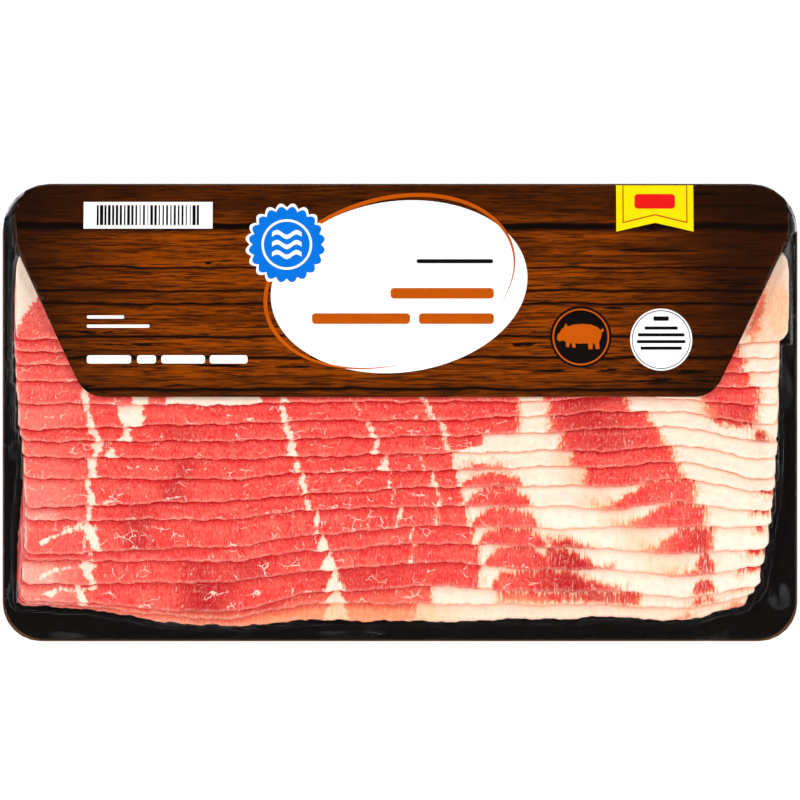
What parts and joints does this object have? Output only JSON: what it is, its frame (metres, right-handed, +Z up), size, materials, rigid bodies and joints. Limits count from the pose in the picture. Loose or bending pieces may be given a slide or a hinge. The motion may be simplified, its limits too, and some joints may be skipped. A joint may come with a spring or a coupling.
{
  "type": "vacuum pack of sliced bacon",
  "caption": "Flat vacuum pack of raw sliced bacon, shingled on a black backing board under a printed front card and a clear film.",
  "frame": {"origin": "middle of the pack's length and width, on the underside of the backing board", "axes": "+X along the slices, +Y towards the printed card's top edge, +Z up, from the board to the shown front"},
  "size_m": [0.27, 0.1554, 0.0202],
  "materials": {
    "board": "black coated board, glossy under tight film with folds round its border",
    "raw_bacon": "raw pork belly, moist red-pink lean in bands with cream fat, fine marbling and darker seams",
    "printed_card": "coated card printed with dark brown planks, a white oval with an orange border, a yellow ribbon, a blue rosette and plain bars",
    "clear_film": "thin clear vacuum film, glossy, drawn tight with small folds"
  },
  "bodies": {
    "root": {"backing_board": "board", "slice_01": "raw_bacon", "slice_02": "raw_bacon", "slice_03": "raw_bacon", "slice_04": "raw_bacon", "slice_05": "raw_bacon", "slice_06": "raw_bacon", "slice_07": "raw_bacon", "slice_08": "raw_bacon", "slice_09": "raw_bacon", "slice_10": "raw_bacon", "slice_11": "raw_bacon", "slice_12": "raw_bacon", "slice_13": "raw_bacon", "slice_14": "raw_bacon", "slice_15": "raw_bacon", "slice_16": "raw_bacon", "slice_17": "raw_bacon", "front_card": "printed_card", "film": "clear_film"}
  },
  "joints": []
}
